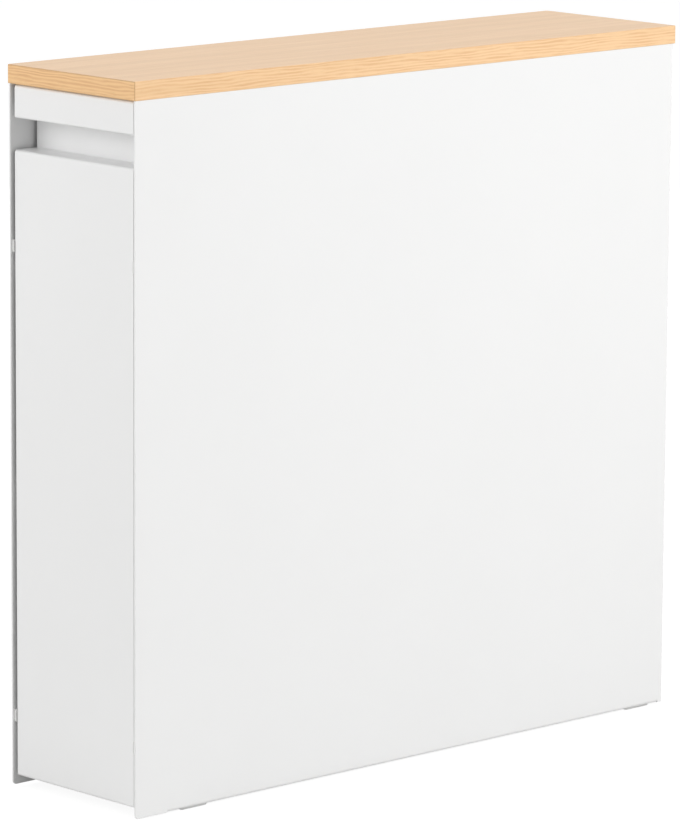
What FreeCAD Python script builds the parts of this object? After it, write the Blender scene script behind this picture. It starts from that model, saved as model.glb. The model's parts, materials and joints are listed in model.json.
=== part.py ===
import FreeCAD, Part
import math
import os

# A slim bathroom storage rack. A steel rack on four small wheels pulls out of the narrow end of a steel
# cabinet that has a wooden top board.
# X runs across the width, Y along the depth with the front at -Y, and Z up from the floor. The origin is the
# middle of the footprint. All sizes are in millimetres.

V = FreeCAD.Vector
SAME_POINT = 1e-6

# Overall sizes and the top board
TOTAL_HEIGHT = 500.0
BOARD_WIDTH = 130.0
BOARD_DEPTH = 515.0
BOARD_THICKNESS = 13.0
BOARD_EDGE_ROUND = 0.6
BOARD_OVER_SIDE = 0.5
BOARD_OVER_FRONT = 0.5
BOARD_OVER_BACK = 1.3

# Sheet steel
CABINET_SHEET = 1.4
RACK_SHEET = 1.2
TRAY_SHEET = 1.0
FORK_SHEET = 1.2
BEND_RADIUS = 1.0  # inside radius of a fold
HEM_GAP = 0.6  # air left inside an edge that is folded over
HEM_HEIGHT = 8.0
PANEL_CORNER_RADIUS = 3.0
PANEL_EDGE_ROUND = 0.35
CABINET_FLANGE = 16.0
ANGLE_DROP = 15.0  # how far a top angle reaches down inside its side panel
FLANGE_END_GAP = 3.0
FLANGE_RISER_GAP = 6.0  # from the back of the finger recess to the cabinet's flanges
EDGE_CLEARANCE = 0.3  # between a sheet's edge and the sheet or fold beside it

# Cabinet pieces
BACK_RAISE = 8.0  # the back panel's lower edge above the side panels' lower edge
BACK_FLANGE = 15.0
STRETCHER_WIDTH = 24.0
STRETCHER_DEPTH = 14.0
STRETCHER_SETBACK = 2.0
FOOT_HEIGHT = 2.0
FOOT_LENGTH = 24.0
FOOT_WIDTH = 11.0
FOOT_INSET = 4.0
FOOT_FROM_FRONT = 57.0
FOOT_FROM_BACK = 22.2
FOOT_CORNER_RADIUS = 2.5
FOOT_CHAMFER = 0.5
FOOT_STEM_RADIUS = 2.8
FOOT_STEM_HEAD_RADIUS = 3.8
FOOT_STEM_HEAD = 1.6
PLUG_CLEARANCE = 0.1  # around a plastic or rubber stem in its hole
GLIDE_LENGTH = 12.0
GLIDE_HEIGHT = 9.0
GLIDE_SETBACK = 1.0
GLIDE_CLEARANCE = 0.3
GLIDE_CORNER_RADIUS = 1.5
GLIDE_ABOVE_TRAY = 24.0
BUMPER_RADIUS = 6.0
BUMPER_HEIGHT = 6.0
BUMPER_ROUND = 1.5
BUMPER_STEM_RADIUS = 2.4
BUMPER_STEM_HEAD_RADIUS = 3.4
BUMPER_STEM_HEAD = 1.2
BUMPER_CLEARANCE = 0.3

# Front panel
FRONT_INSET = 1.95  # behind the side panels' front edges
FRONT_RAISE = 6.6  # above the side panels' lower edges
FRONT_FLANGE = 12.0
SIDE_GAP = 2.5
TOP_GAP = 0.7
BAND_HEIGHT = 22.5
SLOT_HEIGHT = 21.7
POCKET_HEIGHT = 8.0  # how far fingertips reach up behind the band
RECESS_DEPTH = 19.0
RISER_TRIM = 0.6  # cut off each end of the recess's back and its two folds

# Rack
TRAY_SETBACK = 0.4  # the trays' sides inside the front panel's side edges
TRAY_LIP = 30.0
TOP_TIER_CLEAR = 118.0  # a standing paper roll fits under the stretcher
STOP_LAP = 8.0  # how far the rear panel reaches up behind the stretcher
STOP_GAP = 0.5
ROD_RADIUS = 2.5
ROD_ABOVE_TRAY = 70.0
ROD_INSET = 1.6

# Casters
WHEEL_DIAMETER = 24.0
WHEEL_WIDTH = 9.0
WHEEL_EDGE_ROUND = 1.5
HUB_WIDTH = 11.0
HUB_RADIUS = 4.5
RIM_INNER_RADIUS = 9.2
DISH_DEPTH = 1.6
WHEEL_TOP_GAP = 1.6
AXLE_RADIUS = 2.0
AXLE_CLEARANCE = 0.08
AXLE_HEAD_RADIUS = 3.0
AXLE_HEAD = 0.8
FORK_PLAY = 0.3  # between the hub and each ear
FORK_LENGTH = 36.0
FORK_EAR_RADIUS = 4.5
FORK_EAR_SHOULDER = 5.0
CASTER_INSET = 23.0
CASTER_FROM_END = 38.0

# Fasteners
FIT_CLEARANCE = 0.05  # between a thread and its nut
HOLE_CLEARANCE = 0.15  # around a shank in a sheet
WOOD_SCREW_RADIUS = 1.7
WOOD_SCREW_BITE = 9.0
WOOD_SCREW_TIP = 3.0
WOOD_SCREW_POINT = 0.3
WOOD_SCREW_HEAD_RADIUS = 3.5
WOOD_SCREW_HEAD = 1.9
WOOD_SCREWS_PER_SIDE = 4
MACHINE_SCREW_RADIUS = 2.0
MACHINE_SCREW_HEAD_RADIUS = 3.8
MACHINE_SCREW_HEAD = 1.2
CROSS_LENGTH = 3.6
CROSS_WIDTH = 0.8
CROSS_DEPTH = 0.7
THREAD_PAST_NUT = 1.0
ROUND_NUT_RADIUS = 3.6
ROUND_NUT_HEIGHT = 3.0
HEX_NUT_ACROSS_FLATS = 7.0
HEX_NUT_HEIGHT = 3.5
HEX_NUT_FLANGE_RADIUS = 4.6
HEX_NUT_FLANGE = 1.0
BACK_SCREW_ROWS = 4
BACK_SCREW_FROM_END = 40.0
TRAY_FASTENER_X = 30.0
TRAY_FASTENER_ABOVE = 15.0
RIVET_RADIUS = 1.6
RIVET_HEAD_RADIUS = 3.0
RIVET_HEAD = 1.2
RIVET_TAIL_RADIUS = 2.6
RIVET_TAIL = 0.9
RIVET_FROM_AXLE = 14.0

# Places that follow from the sizes above
BOARD_FRONT = -BOARD_DEPTH / 2
BOARD_BACK = BOARD_DEPTH / 2
BOARD_BOTTOM = TOTAL_HEIGHT - BOARD_THICKNESS
PANEL_OUT = BOARD_WIDTH / 2 - BOARD_OVER_SIDE
PANEL_IN = PANEL_OUT - CABINET_SHEET
PANEL_FRONT = BOARD_FRONT + BOARD_OVER_FRONT
PANEL_BACK = BOARD_BACK - BOARD_OVER_BACK
PANEL_BOTTOM = FOOT_HEIGHT
FLANGE_TIP = PANEL_OUT - CABINET_FLANGE
FLANGE_MIDDLE = PANEL_OUT - CABINET_FLANGE / 2
FLANGE_UNDER = BOARD_BOTTOM - CABINET_SHEET
CROSS_UNDER = FLANGE_UNDER - CABINET_SHEET
ANGLE_IN = PANEL_IN - CABINET_SHEET
CROSS_HALF = ANGLE_IN - BEND_RADIUS - EDGE_CLEARANCE
BACK_OUT = PANEL_BACK - CABINET_SHEET
BACK_IN = BACK_OUT - CABINET_SHEET
BACK_BOTTOM = PANEL_BOTTOM + BACK_RAISE

FRONT_Y = PANEL_FRONT + FRONT_INSET
FRONT_IN = FRONT_Y + RACK_SHEET
FRONT_BOTTOM = PANEL_BOTTOM + FRONT_RAISE
BAND_TOP = BOARD_BOTTOM - TOP_GAP
BAND_BOTTOM = BAND_TOP - BAND_HEIGHT
POCKET_TOP = BAND_BOTTOM + POCKET_HEIGHT
SLOT_FLOOR = BAND_BOTTOM - SLOT_HEIGHT
RISER_Y = FRONT_Y + RECESS_DEPTH
FLANGE_FRONT = RISER_Y + RACK_SHEET + FLANGE_RISER_GAP
FLANGE_BACK = PANEL_BACK - CABINET_SHEET - BEND_RADIUS - FLANGE_END_GAP
STRETCHER_FRONT = FLANGE_FRONT + STRETCHER_SETBACK
STRETCHER_BACK = STRETCHER_FRONT + STRETCHER_WIDTH
STRETCHER_BOTTOM = FLANGE_UNDER - STRETCHER_DEPTH

RACK_HALF = PANEL_IN - SIDE_GAP
TRAY_HALF = RACK_HALF - TRAY_SETBACK
REAR_OUT = BACK_IN - BUMPER_HEIGHT - BUMPER_CLEARANCE
REAR_IN = REAR_OUT - RACK_SHEET
REAR_TOP = STRETCHER_BOTTOM + STOP_LAP
RACK_TRAVEL = REAR_IN - STRETCHER_BACK - STOP_GAP

WHEEL_RADIUS = WHEEL_DIAMETER / 2
EAR_IN = HUB_WIDTH / 2 + FORK_PLAY
EAR_OUT = EAR_IN + FORK_SHEET
FORK_UNDER = WHEEL_DIAMETER + WHEEL_TOP_GAP
BOTTOM_LEVEL = FORK_UNDER + FORK_SHEET
TOP_LEVEL = STRETCHER_BOTTOM - TOP_TIER_CLEAR - TRAY_SHEET
MIDDLE_LEVEL = (BOTTOM_LEVEL + TOP_LEVEL) / 2
LEVELS = {"bottom": BOTTOM_LEVEL, "middle": MIDDLE_LEVEL, "top": TOP_LEVEL}
SIDES = {"left": -1, "right": 1}
HEIGHTS = {"lower": BOTTOM_LEVEL + GLIDE_ABOVE_TRAY, "upper": TOP_LEVEL + GLIDE_ABOVE_TRAY}
FOOT_YS = {"front": PANEL_FRONT + FOOT_FROM_FRONT, "rear": PANEL_BACK - FOOT_FROM_BACK}
CASTER_X = TRAY_HALF - CASTER_INSET
CASTER_YS = {"front": FRONT_IN + CASTER_FROM_END, "rear": REAR_IN - CASTER_FROM_END}


def spaced(first, last, count):
    """Count evenly spaced values from first to last."""
    return [first + (last - first) * i / (count - 1) for i in range(count)]


WOOD_SCREW_FRONT = (STRETCHER_FRONT + STRETCHER_BACK) / 2
WOOD_SCREW_BACK = (BACK_OUT - BACK_FLANGE + FLANGE_BACK) / 2
WOOD_SCREW_YS = spaced(WOOD_SCREW_FRONT, WOOD_SCREW_BACK, WOOD_SCREWS_PER_SIDE)
BACK_SCREW_ZS = spaced(
    BACK_BOTTOM + BACK_SCREW_FROM_END, FLANGE_UNDER - BACK_SCREW_FROM_END, BACK_SCREW_ROWS
)


def block(x, y, z):
    """A block between the pairs of limits x, y and z."""
    return Part.makeBox(x[1] - x[0], y[1] - y[0], z[1] - z[0], V(x[0], y[0], z[0]))


def rod(start, end, radius):
    """A cylinder from the point start to the point end."""
    return Part.makeCylinder(radius, start.distanceToPoint(end), start, end - start)


def joined(shapes):
    """One solid from shapes that touch or overlap."""
    return shapes[0].multiFuse(shapes[1:]).removeSplitter()


def mirrored(shape, sign):
    """The shape as it is for sign 1, or its mirror image across the middle plane for sign -1."""
    return shape if sign > 0 else shape.mirror(V(0, 0, 0), V(1, 0, 0))


def in_xz(point):
    return V(point.x, 0, point.y)


def in_xy(point):
    return V(point.x, point.y, 0)


def in_yz(point):
    return V(0, point.x, point.y)


def leftward(heading):
    return V(-heading.y, heading.x, 0)


def fold_arcs(points, headings, radii, offset):
    """Start, middle and end of each fold's arc, on the line that runs offset to the left of the path."""
    arcs = []
    for corner, before, after, radius in zip(points[1:], headings, headings[1:], radii):
        turn = math.atan2(before.cross(after).z, before.dot(after))
        hand = math.copysign(1, turn)
        run = radius * math.tan(abs(turn) / 2)
        centre = corner - before * run + leftward(before) * (radius * hand)
        middle = centre + (corner - centre).normalize() * (radius - hand * offset)
        start = corner - before * run + leftward(before) * offset
        end = corner + after * run + leftward(after) * offset
        arcs.append((start, middle, end))
    return arcs


def folded_sheet(path, thickness, radii, plane, start, end):
    """A sheet of even thickness folded along a middle line and swept from start to end.

    path lists the line's corners in the given plane, and radii the middle radius of each fold.
    """
    points = [V(u, v, 0) for u, v in path]
    headings = [(b - a).normalize() for a, b in zip(points, points[1:])]
    half = thickness / 2
    stations = [(points[0] + leftward(headings[0]) * half,)]
    stations += fold_arcs(points, headings, radii, half)
    stations += [(points[-1] + leftward(headings[-1]) * half,)]
    stations += [(points[-1] - leftward(headings[-1]) * half,)]
    stations += [arc[::-1] for arc in reversed(fold_arcs(points, headings, radii, -half))]
    stations += [(points[0] - leftward(headings[0]) * half,)]
    edges = []
    for here, after in zip(stations, stations[1:] + stations[:1]):
        if len(here) == 3:
            edges.append(Part.Arc(*[plane(p) + start for p in here]).toShape())
        if here[-1].distanceToPoint(after[0]) > SAME_POINT:
            edges.append(Part.makeLine(plane(here[-1]) + start, plane(after[0]) + start))
    return Part.Face(Part.Wire(edges)).extrude(end - start)


def fold_radius(thickness):
    return BEND_RADIUS + thickness / 2


def hem_step(thickness):
    """Distance between the middle lines of the two layers of a folded-over edge."""
    return thickness + HEM_GAP


def turned(profile, origin, axis):
    """A solid of revolution from (radius, height) corners, standing at origin along axis."""
    corners = [V(r, 0, h) for r, h in profile]
    face = Part.Face(Part.makePolygon(corners + corners[:1]))
    return stood(face.revolve(V(0, 0, 0), V(0, 0, 1), 360), origin, axis)


def dome(radius, height, base):
    """A low round cap that stands on the height base of the Z axis."""
    sphere = (radius**2 + height**2) / (2 * height)
    latitude = math.degrees(math.asin((sphere - height) / sphere))
    return Part.makeSphere(sphere, V(0, 0, base + height - sphere), V(0, 0, 1), latitude, 90, 360)


def stood(shape, origin, axis):
    """A shape made along the Z axis, moved to stand at origin along axis."""
    shape.Placement = FreeCAD.Placement(origin, FreeCAD.Rotation(V(0, 0, 1), axis))
    return shape


def cross_recess(top):
    """The two crossed slots in a screw head whose crown is at the height top."""
    depth = (top - CROSS_DEPTH, top)
    half_long = CROSS_LENGTH / 2
    half_wide = CROSS_WIDTH / 2
    one = block((-half_long, half_long), (-half_wide, half_wide), depth)
    other = block((-half_wide, half_wide), (-half_long, half_long), depth)
    return [one, other]


def wood_screw(seat, length):
    """A pointed screw whose domed head seats at the point seat and whose shank goes up."""
    shank = rod(V(0, 0, 0), V(0, 0, WOOD_SCREW_TIP - length), WOOD_SCREW_RADIUS)
    tip_start = V(0, 0, WOOD_SCREW_TIP - length)
    tip = Part.makeCone(WOOD_SCREW_RADIUS, WOOD_SCREW_POINT, WOOD_SCREW_TIP, tip_start, V(0, 0, -1))
    screw = joined([dome(WOOD_SCREW_HEAD_RADIUS, WOOD_SCREW_HEAD, 0), shank, tip])
    return stood(screw.cut(cross_recess(WOOD_SCREW_HEAD)), seat, V(0, 0, -1))


def machine_screw(seat, length):
    """A screw whose domed head seats at the point seat and whose shank goes towards the front."""
    shank = rod(V(0, 0, 0), V(0, 0, -length), MACHINE_SCREW_RADIUS)
    screw = joined([dome(MACHINE_SCREW_HEAD_RADIUS, MACHINE_SCREW_HEAD, 0), shank])
    return stood(screw.cut(cross_recess(MACHINE_SCREW_HEAD)), seat, V(0, 1, 0))


def round_nut(seat, outward):
    """A round press nut that stands on seat along outward, bored for a machine screw."""
    bore = MACHINE_SCREW_RADIUS + FIT_CLEARANCE
    profile = [
        (bore, 0),
        (ROUND_NUT_RADIUS, 0),
        (ROUND_NUT_RADIUS, ROUND_NUT_HEIGHT),
        (bore, ROUND_NUT_HEIGHT),
    ]
    return turned(profile, seat, outward)


def hex_nut(seat, outward):
    """A hexagonal nut with a washer flange that stands on seat along outward."""
    bore = MACHINE_SCREW_RADIUS + FIT_CLEARANCE
    reach = HEX_NUT_ACROSS_FLATS / math.sqrt(3)
    corners = [
        V(reach * math.cos(math.radians(60 * i)), reach * math.sin(math.radians(60 * i)), 0)
        for i in range(6)
    ]
    hexagon = Part.Face(Part.makePolygon(corners + corners[:1])).extrude(V(0, 0, HEX_NUT_HEIGHT))
    flange = Part.makeCylinder(HEX_NUT_FLANGE_RADIUS, HEX_NUT_FLANGE)
    hole = Part.makeCylinder(bore, HEX_NUT_HEIGHT)
    return stood(joined([hexagon, flange]).cut(hole), seat, outward)


def drilled(shape, holes, radius, direction, reach):
    """The shape with a hole of the radius through each of the points, reach deep to both sides."""
    cutters = [rod(point - direction * reach, point + direction * reach, radius) for point in holes]
    return shape.cut(cutters)


def board_screw_points():
    """Where each wood screw's head seats: under the cross pieces at both ends, under the angle between."""
    points = []
    for sign in SIDES.values():
        for y in WOOD_SCREW_YS:
            at_end = y in (WOOD_SCREW_YS[0], WOOD_SCREW_YS[-1])
            points.append(V(sign * FLANGE_MIDDLE, y, CROSS_UNDER if at_end else FLANGE_UNDER))
    return points


def back_screw_points():
    return [V(sign * FLANGE_MIDDLE, PANEL_BACK, z) for sign in SIDES.values() for z in BACK_SCREW_ZS]


def tray_fastener_points(y, levels):
    return [
        V(sign * TRAY_FASTENER_X, y, level + TRAY_FASTENER_ABOVE)
        for level in levels
        for sign in SIDES.values()
    ]


def rivet_points():
    return [
        V(sign * CASTER_X, y + step, BOTTOM_LEVEL)
        for sign in SIDES.values()
        for y in CASTER_YS.values()
        for step in (-RIVET_FROM_AXLE, RIVET_FROM_AXLE)
    ]


def top_board():
    width = (-BOARD_WIDTH / 2, BOARD_WIDTH / 2)
    board = block(width, (BOARD_FRONT, BOARD_BACK), (BOARD_BOTTOM, TOTAL_HEIGHT))
    board = board.makeFillet(BOARD_EDGE_ROUND, board.Edges)
    feet = [V(p.x, p.y, BOARD_BOTTOM) for p in board_screw_points()]
    return drilled(board, feet, WOOD_SCREW_RADIUS + FIT_CLEARANCE, V(0, 0, 1), WOOD_SCREW_BITE)


def side_panel(sign):
    """The side sheet with flanges folded in at its bottom and back, and plain top and front edges."""
    half = CABINET_SHEET / 2
    middle = PANEL_OUT - half
    radius = fold_radius(CABINET_SHEET)
    plate = block((PANEL_IN, PANEL_OUT), (PANEL_FRONT, FLANGE_FRONT), (PANEL_BOTTOM, BOARD_BOTTOM))
    corner = [e for e in plate.Edges if e.BoundBox.YMax < FLANGE_FRONT and e.BoundBox.ZMax < BOARD_BOTTOM]
    plate = plate.makeFillet(PANEL_CORNER_RADIUS, corner)
    rims = [
        e
        for e in plate.Edges
        if e.BoundBox.XLength < CABINET_SHEET / 2
        and e.BoundBox.YMin < FLANGE_FRONT - PANEL_EDGE_ROUND
        and e.BoundBox.ZMin < BOARD_BOTTOM - PANEL_EDGE_ROUND
    ]
    plate = plate.makeFillet(PANEL_EDGE_ROUND, rims)
    length = folded_sheet(
        [(middle, BOARD_BOTTOM), (middle, PANEL_BOTTOM + half), (FLANGE_TIP, PANEL_BOTTOM + half)],
        CABINET_SHEET,
        [radius],
        in_xz,
        V(0, FLANGE_FRONT, 0),
        V(0, FLANGE_BACK, 0),
    )
    rear = folded_sheet(
        [(middle, FLANGE_BACK), (middle, PANEL_BACK - half), (FLANGE_TIP, PANEL_BACK - half)],
        CABINET_SHEET,
        [radius],
        in_xy,
        V(0, 0, PANEL_BOTTOM),
        V(0, 0, BOARD_BOTTOM),
    )
    panel = joined([plate, length, rear])
    mine = [p for p in back_screw_points() if p.x > 0]
    panel = drilled(panel, mine, MACHINE_SCREW_RADIUS + HOLE_CLEARANCE, V(0, 1, 0), 2 * CABINET_SHEET)
    stems = [V(foot_x(), y, PANEL_BOTTOM) for y in FOOT_YS.values()]
    panel = drilled(panel, stems, FOOT_STEM_RADIUS + PLUG_CLEARANCE, V(0, 0, 1), 2 * CABINET_SHEET)
    return mirrored(panel, sign)


def top_angle(sign):
    """An angle welded inside a side panel's top edge, so that screws can reach the board from below."""
    half = CABINET_SHEET / 2
    angle = folded_sheet(
        [
            (FLANGE_TIP, BOARD_BOTTOM - half),
            (PANEL_IN - half, BOARD_BOTTOM - half),
            (PANEL_IN - half, BOARD_BOTTOM - ANGLE_DROP),
        ],
        CABINET_SHEET,
        [fold_radius(CABINET_SHEET)],
        in_xz,
        V(0, FLANGE_FRONT, 0),
        V(0, FLANGE_BACK, 0),
    )
    mine = [p for p in board_screw_points() if p.x > 0]
    angle = drilled(angle, mine, WOOD_SCREW_RADIUS + HOLE_CLEARANCE, V(0, 0, 1), 2 * CABINET_SHEET)
    return mirrored(angle, sign)


def back_panel():
    """A sheet behind the rack, folded forward along its top and its lower edge."""
    half = CABINET_SHEET / 2
    middle = BACK_OUT - half
    panel = folded_sheet(
        [
            (BACK_OUT - BACK_FLANGE, FLANGE_UNDER - half),
            (middle, FLANGE_UNDER - half),
            (middle, BACK_BOTTOM + half),
            (BACK_OUT - BACK_FLANGE, BACK_BOTTOM + half),
        ],
        CABINET_SHEET,
        [fold_radius(CABINET_SHEET)] * 2,
        in_yz,
        V(-CROSS_HALF, 0, 0),
        V(CROSS_HALF, 0, 0),
    )
    reach = 2 * CABINET_SHEET
    screws = [V(p.x, BACK_OUT, p.z) for p in back_screw_points()]
    panel = drilled(panel, screws, MACHINE_SCREW_RADIUS + HOLE_CLEARANCE, V(0, 1, 0), reach)
    stems = [V(0, BACK_OUT, z) for z in HEIGHTS.values()]
    panel = drilled(panel, stems, BUMPER_STEM_RADIUS + PLUG_CLEARANCE, V(0, 1, 0), reach)
    ends = [V(p.x, p.y, FLANGE_UNDER) for p in board_screw_points() if p.y == WOOD_SCREW_YS[-1]]
    return drilled(panel, ends, WOOD_SCREW_RADIUS + HOLE_CLEARANCE, V(0, 0, 1), reach)


def front_stretcher():
    """A channel across the cabinet, under the top angles."""
    half = CABINET_SHEET / 2
    channel = folded_sheet(
        [
            (STRETCHER_FRONT + half, STRETCHER_BOTTOM),
            (STRETCHER_FRONT + half, FLANGE_UNDER - half),
            (STRETCHER_BACK - half, FLANGE_UNDER - half),
            (STRETCHER_BACK - half, STRETCHER_BOTTOM),
        ],
        CABINET_SHEET,
        [fold_radius(CABINET_SHEET)] * 2,
        in_yz,
        V(-CROSS_HALF, 0, 0),
        V(CROSS_HALF, 0, 0),
    )
    ends = [V(p.x, p.y, FLANGE_UNDER) for p in board_screw_points() if p.y == WOOD_SCREW_YS[0]]
    return drilled(channel, ends, WOOD_SCREW_RADIUS + HOLE_CLEARANCE, V(0, 0, 1), 2 * CABINET_SHEET)


def board_screws():
    reach = BOARD_BOTTOM + WOOD_SCREW_BITE
    return Part.makeCompound([wood_screw(point, reach - point.z) for point in board_screw_points()])


def machine_screws(points, grip):
    """Screws that go through sheets of the total thickness grip, then a nut and a little more."""
    length = grip + ROUND_NUT_HEIGHT + THREAD_PAST_NUT
    return Part.makeCompound([machine_screw(point, length) for point in points])


def round_nuts(points, y):
    return Part.makeCompound([round_nut(V(p.x, y, p.z), V(0, -1, 0)) for p in points])


def foot_x():
    return PANEL_OUT - FOOT_INSET - FOOT_WIDTH / 2


def foot(sign, y):
    """A pad under the side panel's bottom flange, held by a stem that snaps through it."""
    x = foot_x()
    half_width = FOOT_WIDTH / 2
    half_length = FOOT_LENGTH / 2
    pad = block((x - half_width, x + half_width), (y - half_length, y + half_length), (0, FOOT_HEIGHT))
    pad = pad.makeFillet(FOOT_CORNER_RADIUS, [e for e in pad.Edges if e.BoundBox.ZLength > FOOT_HEIGHT / 2])
    pad = pad.makeChamfer(FOOT_CHAMFER, [e for e in pad.Edges if e.BoundBox.ZMax < FOOT_HEIGHT / 2])
    stem_top = PANEL_BOTTOM + CABINET_SHEET
    stem = rod(V(x, y, FOOT_HEIGHT), V(x, y, stem_top), FOOT_STEM_RADIUS)
    head = rod(V(x, y, stem_top), V(x, y, stem_top + FOOT_STEM_HEAD), FOOT_STEM_HEAD_RADIUS)
    head = head.makeChamfer(FOOT_CHAMFER, [e for e in head.Edges if e.BoundBox.ZMin > stem_top])
    return mirrored(joined([pad, stem, head]), sign)


def glide(sign, z):
    """A slip of plastic on the side panel's inner face that keeps the rack off the steel."""
    thickness = SIDE_GAP - GLIDE_CLEARANCE
    front = PANEL_FRONT + GLIDE_SETBACK
    half = GLIDE_HEIGHT / 2
    slip = block((PANEL_IN - thickness, PANEL_IN), (front, front + GLIDE_LENGTH), (z - half, z + half))
    corners = [e for e in slip.Edges if e.BoundBox.XLength > thickness / 2]
    return mirrored(slip.makeFillet(GLIDE_CORNER_RADIUS, corners), sign)


def bumper(z):
    """A rubber stop whose stem plugs through the back panel."""
    body = rod(V(0, BACK_IN, z), V(0, BACK_IN - BUMPER_HEIGHT, z), BUMPER_RADIUS)
    tip_edge = [e for e in body.Edges if e.BoundBox.YMax < BACK_IN - BUMPER_HEIGHT / 2]
    body = body.makeFillet(BUMPER_ROUND, tip_edge)
    stem = rod(V(0, BACK_IN, z), V(0, BACK_OUT, z), BUMPER_STEM_RADIUS)
    head = rod(V(0, BACK_OUT, z), V(0, BACK_OUT + BUMPER_STEM_HEAD, z), BUMPER_STEM_HEAD_RADIUS)
    return joined([body, stem, head])


def front_panel():
    """One sheet: front face, slot floor, back of the recess, top, hemmed band, top of the pocket."""
    half = RACK_SHEET / 2
    face = FRONT_Y + half
    riser = RISER_Y + half
    hem = face + hem_step(RACK_SHEET)
    fold = fold_radius(RACK_SHEET)
    hem_fold = hem_step(RACK_SHEET) / 2
    sheet = folded_sheet(
        [
            (FRONT_Y + FRONT_FLANGE, FRONT_BOTTOM + half),
            (face, FRONT_BOTTOM + half),
            (face, SLOT_FLOOR - half),
            (riser, SLOT_FLOOR - half),
            (riser, BAND_TOP - half),
            (face, BAND_TOP - half),
            (face, BAND_BOTTOM + half),
            (hem, BAND_BOTTOM + half),
            (hem, POCKET_TOP + half),
            (RISER_Y - EDGE_CLEARANCE, POCKET_TOP + half),
        ],
        RACK_SHEET,
        [fold] * 5 + [hem_fold] * 2 + [fold],
        in_yz,
        V(-RACK_HALF, 0, 0),
        V(RACK_HALF, 0, 0),
    )
    stud_length = V(0, TRAY_SHEET + HEX_NUT_HEIGHT + THREAD_PAST_NUT, 0)
    studs = [
        rod(p, p + stud_length, MACHINE_SCREW_RADIUS)
        for p in tray_fastener_points(FRONT_IN, LEVELS.values())
    ]
    trims = [
        block(
            sorted((sign * RACK_HALF, sign * (RACK_HALF - RISER_TRIM))),
            (RISER_Y - BEND_RADIUS, RISER_Y + RACK_SHEET),
            (SLOT_FLOOR - RACK_SHEET, BAND_TOP),
        )
        for sign in SIDES.values()
    ]
    return joined([sheet.cut(trims)] + studs)


def front_nuts():
    seats = tray_fastener_points(FRONT_IN + TRAY_SHEET, LEVELS.values())
    return Part.makeCompound([hex_nut(seat, V(0, 1, 0)) for seat in seats])


def rack_rear_panel():
    """An upright sheet at the back of the rack, with its top edge folded over to the rear."""
    half = RACK_SHEET / 2
    middle = REAR_IN + half
    hem = middle + hem_step(RACK_SHEET)
    sheet = folded_sheet(
        [
            (middle, BOTTOM_LEVEL),
            (middle, REAR_TOP - half),
            (hem, REAR_TOP - half),
            (hem, REAR_TOP - HEM_HEIGHT),
        ],
        RACK_SHEET,
        [hem_step(RACK_SHEET) / 2] * 2,
        in_yz,
        V(-TRAY_HALF, 0, 0),
        V(TRAY_HALF, 0, 0),
    )
    holes = tray_fastener_points(REAR_IN, LEVELS.values())
    return drilled(sheet, holes, MACHINE_SCREW_RADIUS + HOLE_CLEARANCE, V(0, 1, 0), 2 * RACK_SHEET)


def tray(level):
    """A shallow tray: hemmed lips along its sides, plain lips at its ends for the fasteners."""
    half = TRAY_SHEET / 2
    fold = fold_radius(TRAY_SHEET)
    step = hem_step(TRAY_SHEET)
    lip_top = level + TRAY_LIP
    side = TRAY_HALF - half
    end_run = TRAY_SHEET + BEND_RADIUS
    right_lip = [
        (side, level + half),
        (side, lip_top - half),
        (side - step, lip_top - half),
        (side - step, lip_top - HEM_HEIGHT),
    ]
    left_lip = [(-x, z) for x, z in reversed(right_lip)]
    channel = folded_sheet(
        left_lip + right_lip,
        TRAY_SHEET,
        [step / 2, step / 2, fold, fold, step / 2, step / 2],
        in_xz,
        V(0, FRONT_IN + end_run, 0),
        V(0, REAR_IN - end_run, 0),
    )
    ends = [
        folded_sheet(
            [
                (wall + inward * end_run, level + half),
                (wall + inward * half, level + half),
                (wall + inward * half, lip_top),
            ],
            TRAY_SHEET,
            [fold],
            in_yz,
            V(end_run - TRAY_HALF, 0, 0),
            V(TRAY_HALF - end_run, 0, 0),
        )
        for wall, inward in ((FRONT_IN, 1), (REAR_IN, -1))
    ]
    shape = joined([channel] + ends)
    holes = [p for wall in (FRONT_IN, REAR_IN) for p in tray_fastener_points(wall, [level])]
    return drilled(shape, holes, MACHINE_SCREW_RADIUS + HOLE_CLEARANCE, V(0, 1, 0), 2 * TRAY_SHEET)


def bottom_tray():
    """The lowest tray, drilled for the casters' rivets."""
    radius = RIVET_RADIUS + HOLE_CLEARANCE
    return drilled(tray(BOTTOM_LEVEL), rivet_points(), radius, V(0, 0, 1), 2 * TRAY_SHEET)


def guard_rod(sign, level):
    x = sign * (TRAY_HALF - ROD_INSET - ROD_RADIUS)
    z = level + ROD_ABOVE_TRAY
    return rod(V(x, FRONT_IN, z), V(x, REAR_IN, z), ROD_RADIUS)


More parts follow.
